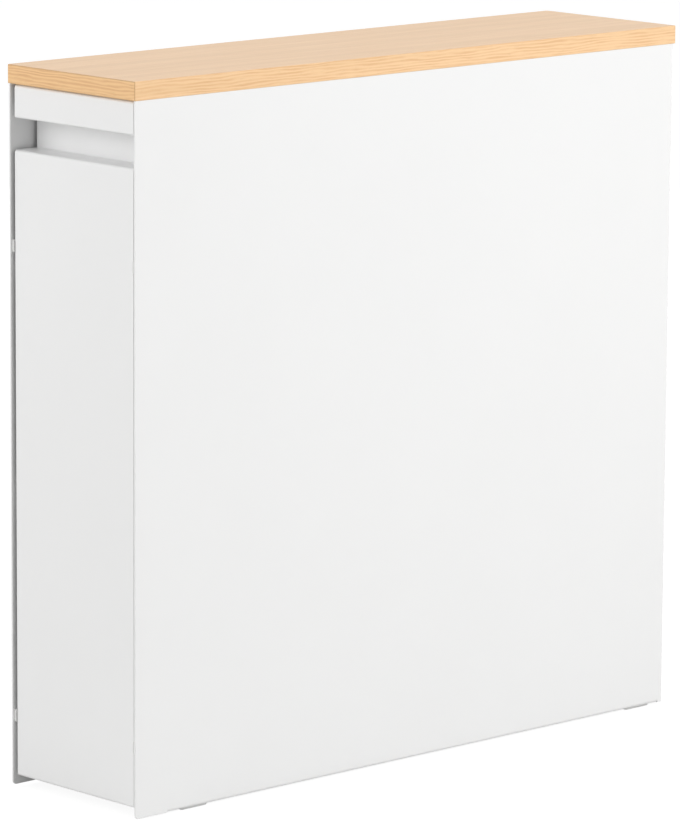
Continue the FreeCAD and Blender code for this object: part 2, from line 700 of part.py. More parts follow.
def caster_fork(x, y):
    """A bracket with two ears that hold the axle, trimmed to a taper round it."""
    half = FORK_SHEET / 2
    ear = EAR_IN + half
    low = WHEEL_RADIUS - FORK_EAR_RADIUS
    reach = FORK_LENGTH / 2
    bracket = folded_sheet(
        [
            (x - ear, low),
            (x - ear, BOTTOM_LEVEL - half),
            (x + ear, BOTTOM_LEVEL - half),
            (x + ear, low),
        ],
        FORK_SHEET,
        [fold_radius(FORK_SHEET)] * 2,
        in_xz,
        V(0, y - reach, 0),
        V(0, y + reach, 0),
    )
    left = x - EAR_OUT
    shoulder = BOTTOM_LEVEL - FORK_EAR_SHOULDER
    corners = [
        V(left, y - FORK_EAR_RADIUS, WHEEL_RADIUS),
        V(left, y - reach, shoulder),
        V(left, y - reach, BOTTOM_LEVEL),
        V(left, y + reach, BOTTOM_LEVEL),
        V(left, y + reach, shoulder),
        V(left, y + FORK_EAR_RADIUS, WHEEL_RADIUS),
    ]
    edges = [Part.makeLine(a, b) for a, b in zip(corners, corners[1:])]
    edges.append(Part.Arc(corners[-1], V(left, y, low), corners[0]).toShape())
    outline = Part.Face(Part.Wire(edges)).extrude(V(2 * EAR_OUT, 0, 0))
    bracket = bracket.common(outline)
    bracket = drilled(bracket, [V(x, y, WHEEL_RADIUS)], AXLE_RADIUS + FIT_CLEARANCE, V(1, 0, 0), 2 * EAR_OUT)
    mine = [V(x, y + step, BOTTOM_LEVEL) for step in (-RIVET_FROM_AXLE, RIVET_FROM_AXLE)]
    return drilled(bracket, mine, RIVET_RADIUS + HOLE_CLEARANCE, V(0, 0, 1), 2 * FORK_SHEET)


def caster_axle(x, y):
    """A pin through both ears, headed at each end."""
    profile = [
        (0, -EAR_OUT - AXLE_HEAD),
        (AXLE_HEAD_RADIUS, -EAR_OUT - AXLE_HEAD),
        (AXLE_HEAD_RADIUS, -EAR_OUT),
        (AXLE_RADIUS, -EAR_OUT),
        (AXLE_RADIUS, EAR_OUT),
        (AXLE_HEAD_RADIUS, EAR_OUT),
        (AXLE_HEAD_RADIUS, EAR_OUT + AXLE_HEAD),
        (0, EAR_OUT + AXLE_HEAD),
    ]
    return turned(profile, V(x, y, WHEEL_RADIUS), V(1, 0, 0))


def caster_wheel(x, y):
    """A plastic wheel with a hub, dished sides and a rounded tread."""
    bore = AXLE_RADIUS + AXLE_CLEARANCE
    web = WHEEL_WIDTH / 2 - DISH_DEPTH
    one_side = [
        (bore, HUB_WIDTH / 2),
        (HUB_RADIUS, HUB_WIDTH / 2),
        (HUB_RADIUS, web),
        (RIM_INNER_RADIUS, web),
        (RIM_INNER_RADIUS, WHEEL_WIDTH / 2),
        (WHEEL_RADIUS, WHEEL_WIDTH / 2),
    ]
    other_side = [(r, -h) for r, h in reversed(one_side)]
    wheel = turned(one_side + other_side, V(0, 0, 0), V(0, 0, 1))
    rim_middle = (RIM_INNER_RADIUS + WHEEL_RADIUS) / 2
    tread = [
        e for e in wheel.Edges if e.BoundBox.XLength > 2 * rim_middle and e.BoundBox.ZLength < WHEEL_WIDTH / 2
    ]
    return stood(wheel.makeFillet(WHEEL_EDGE_ROUND, tread), V(x, y, WHEEL_RADIUS), V(1, 0, 0))


def caster_rivets():
    """Rivets with a domed head in the tray and a flat tail under the fork."""
    rivets = []
    for point in rivet_points():
        under = V(0, 0, -FORK_SHEET)
        head = dome(RIVET_HEAD_RADIUS, RIVET_HEAD, TRAY_SHEET)
        shank = rod(under, V(0, 0, TRAY_SHEET), RIVET_RADIUS)
        tail = rod(under - V(0, 0, RIVET_TAIL), under, RIVET_TAIL_RADIUS)
        rivets.append(stood(joined([head, shank, tail]), point, V(0, 0, 1)))
    return Part.makeCompound(rivets)


def all_parts():
    """Every node's name and shape."""
    parts = {
        "top_board": top_board(),
        "back_panel": back_panel(),
        "front_stretcher": front_stretcher(),
        "board_screws": board_screws(),
        "back_panel_screws": machine_screws(back_screw_points(), 2 * CABINET_SHEET),
        "back_panel_nuts": round_nuts(back_screw_points(), BACK_IN),
        "front_panel": front_panel(),
        "front_nuts": front_nuts(),
        "rack_rear_panel": rack_rear_panel(),
        "bottom_tray": bottom_tray(),
        "middle_tray": tray(MIDDLE_LEVEL),
        "top_tray": tray(TOP_LEVEL),
        "caster_rivets": caster_rivets(),
    }
    rear_points = tray_fastener_points(REAR_OUT, LEVELS.values())
    parts["rear_screws"] = machine_screws(rear_points, RACK_SHEET + TRAY_SHEET)
    parts["rear_nuts"] = round_nuts(rear_points, REAR_IN - TRAY_SHEET)
    for height, z in HEIGHTS.items():
        parts[f"bumper_{height}"] = bumper(z)
    for side, sign in SIDES.items():
        parts[f"side_panel_{side}"] = side_panel(sign)
        parts[f"top_angle_{side}"] = top_angle(sign)
        for end, y in FOOT_YS.items():
            parts[f"foot_{end}_{side}"] = foot(sign, y)
        for height, z in HEIGHTS.items():
            parts[f"glide_{height}_{side}"] = glide(sign, z)
        for tier, level in LEVELS.items():
            parts[f"guard_rod_{tier}_{side}"] = guard_rod(sign, level)
        for end, y in CASTER_YS.items():
            parts[f"caster_fork_{end}_{side}"] = caster_fork(sign * CASTER_X, y)
            parts[f"caster_axle_{end}_{side}"] = caster_axle(sign * CASTER_X, y)
            parts[f"caster_wheel_{end}_{side}"] = caster_wheel(sign * CASTER_X, y)
    return parts


os.makedirs("parts", exist_ok=True)
for name, shape in sorted(all_parts().items()):
    shape.exportStep(f"parts/{name}.step")
    print(f"{name}: {len(shape.Solids)} solid(s), {shape.Volume / 1000:.2f} cm3, valid {shape.isValid()}")
print(f"rack travel {RACK_TRAVEL:.2f} mm")
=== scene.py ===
# %% [markdown]
# A slim bathroom rack stands beside a toilet or basin: a narrow steel cabinet with an oak board on top, and a
# rack on small wheels that pulls out of its front by a finger slot. Every sheet, screw and wheel is already
# modelled at its real size, and comes in here as a fixed frame. So this lesson is about looks: what each
# surface is made of, and how light, floor and camera show it. All sizes are in metres. X runs across the
# width, Y along the depth with the front at -Y, and Z up.

# %% Load the frame
import json
import math

import bmesh
import bpy
from mathutils import Matrix, Vector


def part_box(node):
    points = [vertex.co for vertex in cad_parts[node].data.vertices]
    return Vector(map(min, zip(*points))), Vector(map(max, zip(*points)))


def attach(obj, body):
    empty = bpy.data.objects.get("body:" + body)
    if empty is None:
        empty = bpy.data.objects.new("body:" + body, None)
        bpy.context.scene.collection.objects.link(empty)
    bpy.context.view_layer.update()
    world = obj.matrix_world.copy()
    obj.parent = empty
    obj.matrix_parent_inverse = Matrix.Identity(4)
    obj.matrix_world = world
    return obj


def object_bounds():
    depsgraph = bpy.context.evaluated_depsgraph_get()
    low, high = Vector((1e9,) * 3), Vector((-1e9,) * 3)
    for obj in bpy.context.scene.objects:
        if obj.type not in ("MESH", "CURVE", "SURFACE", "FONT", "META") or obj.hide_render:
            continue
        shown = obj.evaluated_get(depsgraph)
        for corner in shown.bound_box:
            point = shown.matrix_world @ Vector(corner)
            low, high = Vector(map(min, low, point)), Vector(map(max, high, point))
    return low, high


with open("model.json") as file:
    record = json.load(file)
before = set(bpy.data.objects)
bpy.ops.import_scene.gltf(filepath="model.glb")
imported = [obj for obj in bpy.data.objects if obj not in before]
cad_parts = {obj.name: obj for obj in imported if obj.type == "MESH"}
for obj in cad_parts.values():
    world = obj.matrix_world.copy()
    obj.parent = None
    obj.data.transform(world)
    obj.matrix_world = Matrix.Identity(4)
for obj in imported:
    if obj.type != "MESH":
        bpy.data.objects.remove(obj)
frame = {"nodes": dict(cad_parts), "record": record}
cad_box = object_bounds()
MM = 0.001
print("size in mm:", [round(side / MM, 1) for side in cad_box[1] - cad_box[0]])

# %% [markdown]
# A procedural material is a net of small nodes. Typed out one call at a time it gets long, so a few helpers
# keep the later cells short. One fills a socket, with a plain value or with another node's output, and one
# adds a node with its sockets filled. The next three give a number each: the result of a sum, a soft step
# from 0 to 1, and a number between two others.


# %% Helpers for shader nodes
def feed(tree, socket, value):
    """Gives a socket another node's output, or a plain value."""
    if isinstance(value, bpy.types.NodeSocket):
        tree.links.new(value, socket)
    else:
        socket.default_value = value


def add_node(tree, kind, sockets=None, **settings):
    """Adds a node of that kind, with its settings and its sockets filled."""
    made = tree.nodes.new(kind)
    for name, value in settings.items():
        setattr(made, name, value)
    for name, value in (sockets or {}).items():
        feed(tree, made.inputs[name], value)
    return made


def calculate(tree, operation, *values):
    """The result of a Math node."""
    made = add_node(tree, "ShaderNodeMath", operation=operation)
    for socket, value in zip(made.inputs, values):
        feed(tree, socket, value)
    return made.outputs[0]


def soft_step(tree, value, low, high):
    """0 where value is at or under low, 1 at or over high, and a smooth rise between."""
    sockets = {"Value": value, "From Min": low, "From Max": high}
    made = add_node(tree, "ShaderNodeMapRange", sockets, interpolation_type="SMOOTHSTEP")
    return made.outputs["Result"]


def between(tree, factor, low, high):
    """A number that goes from low to high as factor goes from 0 to 1."""
    made = add_node(tree, "ShaderNodeMapRange", {"Value": factor, "To Min": low, "To Max": high})
    return made.outputs["Result"]


print("node helpers ready")

# %% [markdown]
# Colours come next. A mix lies between two colours. A tint moves a colour towards another one by a share of a
# mask, and that is how wear, dust and grain are laid over a finish. In Blender's Mix node the sockets of each
# mode share their names with those of other modes, so they go by number.

# %% Helpers for colours
MIX_FACTOR, MIX_COLOUR_A, MIX_COLOUR_B, MIX_COLOUR_RESULT = 0, 6, 7, 2


def rgb(red, green, blue):
    """An opaque colour."""
    return (red, green, blue, 1.0)


def mix_colour(tree, factor, first, second):
    """A colour that goes from first to second as factor goes from 0 to 1."""
    made = add_node(tree, "ShaderNodeMix", data_type="RGBA")
    for number, value in ((MIX_FACTOR, factor), (MIX_COLOUR_A, first), (MIX_COLOUR_B, second)):
        feed(tree, made.inputs[number], value)
    return made.outputs[MIX_COLOUR_RESULT]


def tinted(tree, colour, tint, mask, share):
    """colour, moved towards tint by that share where mask is 1."""
    return mix_colour(tree, calculate(tree, "MULTIPLY", mask, share), colour, tint)


print("colour helpers ready")

# %% [markdown]
# Some effects return in several materials, so each is a node group that is built once. Its sockets are made
# on the group's interface, in Blender 4.5 with `interface.new_socket`. A group here gives out masks and
# heights only; every material keeps its own shader and decides what the mask does.

# %% Helpers for node groups
NUMBER = "NodeSocketFloat"
VECTOR = "NodeSocketVector"


def start_group(name, inputs, outputs):
    """A new node group: the tree, the sockets that it is given and the sockets that it fills."""
    tree = bpy.data.node_groups.new(name, "ShaderNodeTree")
    for label, (kind, value) in inputs.items():
        socket = tree.interface.new_socket(label, in_out="INPUT", socket_type=kind)
        socket.default_value = value
    for label in outputs:
        tree.interface.new_socket(label, in_out="OUTPUT", socket_type=NUMBER)
    given = tree.nodes.new("NodeGroupInput").outputs
    filled = tree.nodes.new("NodeGroupOutput").inputs
    return tree, given, filled


def use_group(tree, group, **values):
    """Places a group in a material with that material's own values."""
    made = add_node(tree, "ShaderNodeGroup", node_tree=group)
    for label, value in values.items():
        feed(tree, made.inputs[label.replace("_", " ").capitalize()], value)
    return made.outputs


print("group helpers ready")

# %% [markdown]
# No factory surface is perfectly even. Powder coat dries with a skin like orange peel, and moulded plastic
# copies the texture of its mould. One noise texture at the size of that grain gives the height, and a
# second, far larger one gives cloudy patches that shift the shine a little from place to place. Object
# coordinates are used, so the grain has a real size in metres and stays on a piece when it moves.

# %% Group: fine texture
GRAIN_DETAIL = 2.0
PATCH_DETAIL = 3.0


def fine_texture_group():
    inputs = {"Grain size": (NUMBER, 1 * MM), "Patch size": (NUMBER, 60 * MM)}
    tree, given, filled = start_group("fine_texture", inputs, ["Height", "Patches"])
    place = add_node(tree, "ShaderNodeTexCoord").outputs["Object"]
    layers = (("Height", "Grain size", GRAIN_DETAIL), ("Patches", "Patch size", PATCH_DETAIL))
    for label, size, detail in layers:
        scale = calculate(tree, "DIVIDE", 1.0, given[size])
        noise = add_node(tree, "ShaderNodeTexNoise", {"Vector": place, "Scale": scale, "Detail": detail})
        tree.links.new(noise.outputs["Fac"], filled[label])
    return tree


fine_texture = fine_texture_group()
print("group", fine_texture.name, "has sockets", [s.name for s in fine_texture.interface.items_tree])

# %% [markdown]
# Paint flows away from a sharp edge and hands rub it, so edges look a little different from the faces
# beside them. On the white paint this edge mask also lays painted shade, a darker line along the sheets'
# edges. The Bevel node gives the normal that the surface would have if its edges were rounder. Where that
# normal turns away from the true one there is an edge, which works on any mesh, however few vertices it
# has. The group breaks the line up with noise, because real wear is never even.

# %% Group: edge wear and shade
BEVEL_SAMPLES = 6
EDGE_TURN = (0.01, 0.2)  # 1 less the cosine of the normal's turn: where an edge begins, and where it is full
# On the white paint the edge marks are partly wear and partly painted shade.
WEAR_AND_SHADE_NOISE = (0.35, 0.65)  # noise at which an edge is worn least and most
LEAST_WEAR_AND_SHADE = 0.45
WEAR_AND_SHADE_DETAIL = 4.0


def edge_wear_and_shade_group():
    inputs = {"Width": (NUMBER, 1 * MM), "Patch size": (NUMBER, 12 * MM)}
    tree, given, filled = start_group("edge_wear_and_shade", inputs, ["Edge"])
    rounded = add_node(tree, "ShaderNodeBevel", {"Radius": given["Width"]}, samples=BEVEL_SAMPLES)
    true_normal = add_node(tree, "ShaderNodeNewGeometry").outputs["Normal"]
    cosine = add_node(tree, "ShaderNodeVectorMath", operation="DOT_PRODUCT")
    feed(tree, cosine.inputs[0], rounded.outputs["Normal"])
    feed(tree, cosine.inputs[1], true_normal)
    edge = soft_step(tree, calculate(tree, "SUBTRACT", 1.0, cosine.outputs["Value"]), *EDGE_TURN)
    place = add_node(tree, "ShaderNodeTexCoord").outputs["Object"]
    scale = calculate(tree, "DIVIDE", 1.0, given["Patch size"])
    noise = add_node(tree, "ShaderNodeTexNoise", {"Vector": place, "Scale": scale, "Detail": WEAR_AND_SHADE_DETAIL})
    broken = between(tree, soft_step(tree, noise.outputs["Fac"], *WEAR_AND_SHADE_NOISE), LEAST_WEAR_AND_SHADE, 1.0)
    tree.links.new(calculate(tree, "MULTIPLY", edge, broken), filled["Edge"])
    return tree


edge_wear_and_shade = edge_wear_and_shade_group()
print("group", edge_wear_and_shade.name, "built")

# %% [markdown]
# Inner corners and faces that look up get a little darker here: partly settled dust, and partly painted
# shade, since the corners this mask finds are where shade falls. The Ambient Occlusion node finds the
# corners, and the surface's own normal tells how far it faces up. Both together make a mask that stays low
# on a new product.

# %% Group: dust and corner shade
# The corners this mask finds are where shade falls, so it paints shade as well as dust.
CORNER_SAMPLES = 4
FACING_UP = (-0.2, 0.9)  # upward part of the normal at which a corner keeps least and most dust
LEAST_DUST_AND_SHADE = 0.35


def corner_shade_and_dust_group():
    inputs = {"Reach": (NUMBER, 6 * MM)}
    tree, given, filled = start_group("corner_shade_and_dust", inputs, ["Dust"])
    sockets = {"Distance": given["Reach"]}
    open_sky = add_node(tree, "ShaderNodeAmbientOcclusion", sockets, samples=CORNER_SAMPLES)
    corner = calculate(tree, "SUBTRACT", 1.0, open_sky.outputs["AO"])
    normal = add_node(tree, "ShaderNodeNewGeometry").outputs["Normal"]
    upward = add_node(tree, "ShaderNodeSeparateXYZ", {"Vector": normal}).outputs["Z"]
    share = between(tree, soft_step(tree, upward, *FACING_UP), LEAST_DUST_AND_SHADE, 1.0)
    tree.links.new(calculate(tree, "MULTIPLY", corner, share), filled["Dust"])
    return tree


corner_shade_and_dust = corner_shade_and_dust_group()
print("group", corner_shade_and_dust.name, "built")

# %% [markdown]
# Every finish on the rack ends in one Principled shader. Values that are the same all over, such as a
# metal's full Metallic, are set on the shader's own sockets; only what changes over the surface is linked.


# %% Helpers for materials
def start_material(name, **constants):
    """A material with one Principled shader: the material, its node tree and the shader's sockets."""
    material = bpy.data.materials.new(name)
    material.use_nodes = True
    tree = material.node_tree
    shader = tree.nodes["Principled BSDF"]
    for label, value in constants.items():
        shader.inputs[label.replace("_", " ")].default_value = value
    return material, tree, shader.inputs


def bumpy(tree, height, strength, depth):
    """A normal that shows height as relief of that depth."""
    sockets = {"Height": height, "Strength": strength, "Distance": depth}
    return add_node(tree, "ShaderNodeBump", sockets).outputs["Normal"]


print("material helpers ready")

# %% [markdown]
# The sheets are powder coated: white resin baked on steel, satin and slightly pebbled. A flat white would
# look like paper, so the colour shifts a little in patches, the folds and edges are a little darker, partly a
# thinner coat and partly painted shade, inner corners are a little darker, partly dust and partly painted
# shade, and the roughness follows the patches. The relief is only hundredths of a millimetre, which shows
# in the edge of a highlight and not as spots.

# %% Material: white powder coat
PAINT_DARKER = rgb(0.850, 0.850, 0.850)
PAINT_LIGHTER = rgb(0.872, 0.872, 0.872)
PAINT_ROUGHNESS = (0.30, 0.40)
# Darker edges and folds: partly a thinner coat, partly painted shade.
THIN_COAT_AND_SHADE = rgb(0.66, 0.66, 0.65)
THIN_COAT_AND_SHADE_SHARE = 0.08
# Inner corners darker: partly pale dust, partly painted shade.
PALE_DUST_AND_SHADE = rgb(0.62, 0.60, 0.56)
PALE_DUST_AND_SHADE_SHARE = 0.05


def powder_coat():
    material, tree, shader = start_material("white_powder_coat")
    texture = use_group(tree, fine_texture, grain_size=0.9 * MM, patch_size=90 * MM)
    edge = use_group(tree, edge_wear_and_shade, width=0.9 * MM, patch_size=14 * MM)["Edge"]
    dust_and_shade = use_group(tree, corner_shade_and_dust, reach=7 * MM)["Dust"]
    colour = mix_colour(tree, texture["Patches"], PAINT_DARKER, PAINT_LIGHTER)
    # Painted shade along the edges, together with a thinner coat.
    colour = tinted(tree, colour, THIN_COAT_AND_SHADE, edge, THIN_COAT_AND_SHADE_SHARE)
    # Pale grey in inner corners: partly dust, partly painted shade.
    colour = tinted(tree, colour, PALE_DUST_AND_SHADE, dust_and_shade, PALE_DUST_AND_SHADE_SHARE)
    feed(tree, shader["Base Color"], colour)
    feed(tree, shader["Roughness"], between(tree, texture["Patches"], *PAINT_ROUGHNESS))
    feed(tree, shader["Normal"], bumpy(tree, texture["Height"], strength=0.35, depth=0.03 * MM))
    return material


white_paint = powder_coat()
print("material", white_paint.name)

# %% [markdown]
# The board is faced with oak. Oak shows three things: broad bands of lighter and darker wood, fine lines
# from the yearly rings that run along the grain and waver a little, and open pores, short dark dashes a
# fraction of a millimetre wide. Bands, fibre and pores are noise that is stretched along the grain. The
# rings are a sine wave across the grain; noise pushes it to and fro and makes some lines stronger than
# others. The group takes coordinates in the order along, across and through the grain, so the same figure
# can lie in any direction.

# %% Group: wood figure
# How many features of each kind lie in a metre along, across and through the grain
BANDS_IN_METRE = (3, 80, 30)
WAVERS_IN_METRE = (24, 130, 60)
STRONG_LINES_IN_METRE = (38, 260, 60)
FIBRES_IN_METRE = (45, 2600, 700)
PORES_IN_METRE = (150, 1900, 600)
FIGURE_DETAIL = 2.0
RING_WANDER = 2.5  # how many rings the noise may push a line by
# Noise from which each kind begins to show, and from which it shows in full
BAND_NOISE = (0.3, 0.7)
STRONG_LINE_NOISE = (0.2, 0.7)
PORE_NOISE = (0.62, 0.72)


def stretched_noise(tree, place, in_metre):
    """Noise whose number of features in a metre differs by direction."""
    moved = add_node(tree, "ShaderNodeVectorMath", operation="MULTIPLY")
    feed(tree, moved.inputs[0], place)
    feed(tree, moved.inputs[1], in_metre)
    sockets = {"Vector": moved.outputs[0], "Scale": 1.0, "Detail": FIGURE_DETAIL}
    return add_node(tree, "ShaderNodeTexNoise", sockets).outputs["Fac"]


def wood_figure_group():
    inputs = {"Grain place": (VECTOR, (0.0, 0.0, 0.0)), "Ring gap": (NUMBER, 2 * MM)}
    tree, given, filled = start_group("wood_figure", inputs, ["Bands", "Lines", "Fibre", "Pores"])
    place = given["Grain place"]
    bands = soft_step(tree, stretched_noise(tree, place, BANDS_IN_METRE), *BAND_NOISE)
    across = add_node(tree, "ShaderNodeSeparateXYZ", {"Vector": place}).outputs["Y"]
    wander = calculate(tree, "MULTIPLY", stretched_noise(tree, place, WAVERS_IN_METRE), RING_WANDER)
    rings = calculate(tree, "ADD", calculate(tree, "DIVIDE", across, given["Ring gap"]), wander)
    wave = calculate(tree, "SINE", calculate(tree, "MULTIPLY", rings, math.tau))
    strength = soft_step(tree, stretched_noise(tree, place, STRONG_LINES_IN_METRE), *STRONG_LINE_NOISE)
    lines = calculate(tree, "MULTIPLY", soft_step(tree, wave, -1.0, 1.0), strength)
    fibre = stretched_noise(tree, place, FIBRES_IN_METRE)
    pores = soft_step(tree, stretched_noise(tree, place, PORES_IN_METRE), *PORE_NOISE)
    for label, value in (("Bands", bands), ("Lines", lines), ("Fibre", fibre), ("Pores", pores)):
        tree.links.new(value, filled[label])
    return tree


wood_figure = wood_figure_group()
print("group", wood_figure.name, "built")

# %% [markdown]
# On the real board the top face and the narrow edges are separate strips, and the grain runs lengthwise on
# each of them: along the depth on top and on the long edges, along the width on the two ends. So the
# coordinates are put in the figure's order once for each strip. The surface's own normal tells which strip
# a point belongs to, and picks the set.

# %% Grain along each strip of the board
FACING_AXIS = (0.68, 0.74)  # part of the normal along an axis: not yet facing that way, and facing it
TOP_STRETCH = 0.4  # under 1 draws the figure out along the grain
MIX_VECTOR_A, MIX_VECTOR_B, MIX_VECTOR_RESULT = 4, 5, 1


def facing(tree, component):
    """1 where the surface faces along that axis, either way, and 0 elsewhere."""
    return soft_step(tree, calculate(tree, "ABSOLUTE", component), *FACING_AXIS)


def pick_vector(tree, factor, first, second):
    """first where factor is 0, second where it is 1."""
    made = add_node(tree, "ShaderNodeMix", data_type="VECTOR")
    for number, value in ((MIX_FACTOR, factor), (MIX_VECTOR_A, first), (MIX_VECTOR_B, second)):
        feed(tree, made.inputs[number], value)
    return made.outputs[MIX_VECTOR_RESULT]


def in_grain_order(tree, along, across, through):
    sockets = {"X": along, "Y": across, "Z": through}
    return add_node(tree, "ShaderNodeCombineXYZ", sockets).outputs[0]


def place_in_figure(tree, at, on_long_edge, on_end):
    """Where in the wood figure a point of the board lies."""
    top = in_grain_order(tree, calculate(tree, "MULTIPLY", at["Y"], TOP_STRETCH), at["X"], at["Z"])
    long_edge = in_grain_order(tree, at["Y"], at["Z"], at["X"])
    end = in_grain_order(tree, at["X"], at["Z"], at["Y"])
    return pick_vector(tree, on_end, pick_vector(tree, on_long_edge, top, long_edge), end)


print("strip helpers ready")

# %% [markdown]
# Where an end strip meets its neighbours there is a fine dark glue line. It is drawn by measuring how far a
# point on the end is from the end's rim, which the board's own box gives.

# %% Glue line round the board's ends
BOARD_LOW, BOARD_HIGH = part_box("top_board")
GLUE_FULL = 0.35 * MM  # up to this far from the rim the line is at its darkest
GLUE_GONE = 0.98 * MM
ON_END = (0.25, 0.6)  # as FACING_AXIS, but it takes in the rounding at the rim


def from_rim(tree, value, low, high):
    """Distance from value to the nearer of two limits."""
    middle, reach = (low + high) / 2, (high - low) / 2
    away = calculate(tree, "ABSOLUTE", calculate(tree, "SUBTRACT", value, middle))
    return calculate(tree, "SUBTRACT", reach, away)


def glue_mask(tree, at, normal):
    """1 on the glue line, 0 elsewhere."""
    to_side = from_rim(tree, at["X"], BOARD_LOW.x, BOARD_HIGH.x)
    to_face = from_rim(tree, at["Z"], BOARD_LOW.z, BOARD_HIGH.z)
    rim = calculate(tree, "MINIMUM", to_side, to_face)
    near_rim = calculate(tree, "SUBTRACT", 1.0, soft_step(tree, rim, GLUE_FULL, GLUE_GONE))
    near_end = soft_step(tree, calculate(tree, "ABSOLUTE", normal["Y"]), *ON_END)
    return calculate(tree, "MULTIPLY", near_rim, near_end)


print("board", [round(side / MM, 1) for side in BOARD_HIGH - BOARD_LOW], "mm")

# %% [markdown]
# The oak's colour is laid on from broad to fine: bands, a warmer tone on the end strips, ring lines, pale
# fibre, dark pores and the glue line. Ring lines are strongest on the end strips and faintest on top. The
# fibre also sets the roughness, and makes a very shallow relief together with the pores.

# %% Material: oak board
RING_GAP = 2.2 * MM
OAK_DARKER = rgb(0.85, 0.562, 0.305)
OAK_LIGHTER = rgb(0.92, 0.618, 0.352)
OAK_ROUGHNESS = (0.30, 0.44)
END_OAK = rgb(0.86, 0.53, 0.23)
END_OAK_SHARE = 0.7
RING_LINE = rgb(0.69, 0.365, 0.16)
RING_SHARE_TOP, RING_SHARE_LONG_EDGE, RING_SHARE_END = 0.5, 0.6, 0.85
PALE_FIBRE = rgb(0.97, 0.70, 0.44)
PALE_FIBRE_SHARE = 0.14
DARK_PORE = rgb(0.42, 0.24, 0.11)
DARK_PORE_SHARE = 0.22
PORE_DEPTH = 2.0  # times the height of the fibre
GLUE = rgb(0.40, 0.235, 0.11)
GLUE_SHARE = 0.45


def oak():
    material, tree, shader = start_material("oak_facing")
    surface = add_node(tree, "ShaderNodeTexCoord").outputs
    at = add_node(tree, "ShaderNodeSeparateXYZ", {"Vector": surface["Object"]}).outputs
    normal = add_node(tree, "ShaderNodeSeparateXYZ", {"Vector": surface["Normal"]}).outputs
    on_end = facing(tree, normal["Y"])
    on_long_edge = facing(tree, normal["X"])
    place = place_in_figure(tree, at, on_long_edge, on_end)
    figure = use_group(tree, wood_figure, grain_place=place, ring_gap=RING_GAP)
    ring_share = between(tree, on_long_edge, RING_SHARE_TOP, RING_SHARE_LONG_EDGE)
    ring_share = between(tree, on_end, ring_share, RING_SHARE_END)
    colour = mix_colour(tree, figure["Bands"], OAK_DARKER, OAK_LIGHTER)
    colour = tinted(tree, colour, END_OAK, on_end, END_OAK_SHARE)
    colour = tinted(tree, colour, RING_LINE, figure["Lines"], ring_share)
    colour = tinted(tree, colour, PALE_FIBRE, figure["Fibre"], PALE_FIBRE_SHARE)
    colour = tinted(tree, colour, DARK_PORE, figure["Pores"], DARK_PORE_SHARE)
    colour = tinted(tree, colour, GLUE, glue_mask(tree, at, normal), GLUE_SHARE)
    feed(tree, shader["Base Color"], colour)
    feed(tree, shader["Roughness"], between(tree, figure["Fibre"], *OAK_ROUGHNESS))
    pits = calculate(tree, "MULTIPLY", figure["Pores"], PORE_DEPTH)
    relief = calculate(tree, "SUBTRACT", figure["Fibre"], pits)
    feed(tree, shader["Normal"], bumpy(tree, relief, strength=0.3, depth=0.03 * MM))
    return material


oak_board = oak()
print("material", oak_board.name)

# %% [markdown]
# Feet, glides and wheels are moulded plastic, and the bumpers at the back are rubber. They share one recipe,
# and differ in colour, in shine and in how coarse the mould was. The feet are coloured white; the glides get
# a greyer copy of the same white plastic, which is painted shade for the narrow gaps they sit in. Wheels and
# rubber also carry more grey in their inner corners, partly dust and partly painted shade, from the corner
# mask.

# %% Materials: moulded plastics and rubber
MOULD_EDGE_SHARE = 0.3
# Grey in inner corners: partly dust, partly painted shade.
GREY_DUST_AND_SHADE = rgb(0.42, 0.40, 0.37)


def moulded(name, base, shaded, roughness, grain, dust_and_shade_share):
    """A plastic or rubber between two close colours, with a range of roughness and a mould's grain."""
    material, tree, shader = start_material(name)
    texture = use_group(tree, fine_texture, grain_size=grain, patch_size=9 * MM)
    edge = use_group(tree, edge_wear_and_shade, width=0.5 * MM, patch_size=4 * MM)["Edge"]
    dust_and_shade = use_group(tree, corner_shade_and_dust, reach=4 * MM)["Dust"]
    colour = mix_colour(tree, texture["Patches"], base, shaded)
    colour = tinted(tree, colour, shaded, edge, MOULD_EDGE_SHARE)
    # Grey in inner corners: partly dust, partly painted shade.
    colour = tinted(tree, colour, GREY_DUST_AND_SHADE, dust_and_shade, dust_and_shade_share)
    feed(tree, shader["Base Color"], colour)
    feed(tree, shader["Roughness"], between(tree, texture["Patches"], *roughness))
    feed(tree, shader["Normal"], bumpy(tree, texture["Height"], strength=0.4, depth=0.02 * MM))
    return material


white_plastic = moulded(
    "white_moulded_plastic",
    base=rgb(0.88, 0.88, 0.87),
    shaded=rgb(0.84, 0.84, 0.83),
    roughness=(0.40, 0.55),
    grain=0.5 * MM,
    dust_and_shade_share=0.12,
)
# A greyer copy of the feet's white plastic for the glides: painted shade for the narrow gaps they sit in.
natural_nylon = moulded(
    "natural_nylon",
    base=rgb(0.70, 0.70, 0.69),
    shaded=rgb(0.64, 0.64, 0.63),
    roughness=(0.45, 0.60),
    grain=0.5 * MM,
    dust_and_shade_share=0.12,
)
grey_rubber = moulded(
    "grey_rubber",
    base=rgb(0.10, 0.10, 0.105),
    shaded=rgb(0.075, 0.075, 0.08),
    roughness=(0.70, 0.85),
    grain=0.35 * MM,
    dust_and_shade_share=0.4,
)
wheel_nylon = moulded(
    "wheel_nylon",
    base=rgb(0.36, 0.36, 0.36),
    shaded=rgb(0.30, 0.30, 0.31),
    roughness=(0.28, 0.42),
    grain=0.6 * MM,
    dust_and_shade_share=0.6,
)
print("materials", white_plastic.name, natural_nylon.name, grey_rubber.name, wheel_nylon.name)

# %% [markdown]
# Screws, nuts, axles and wheel forks are zinc-plated steel. Fresh zinc has a faint crystal pattern, so a
# Voronoi texture gives cells of slightly different brightness and shine. A fine grain lies over them, and
# rubbed edges are brighter. It is a metal all over, so Metallic is set to 1 on the shader.

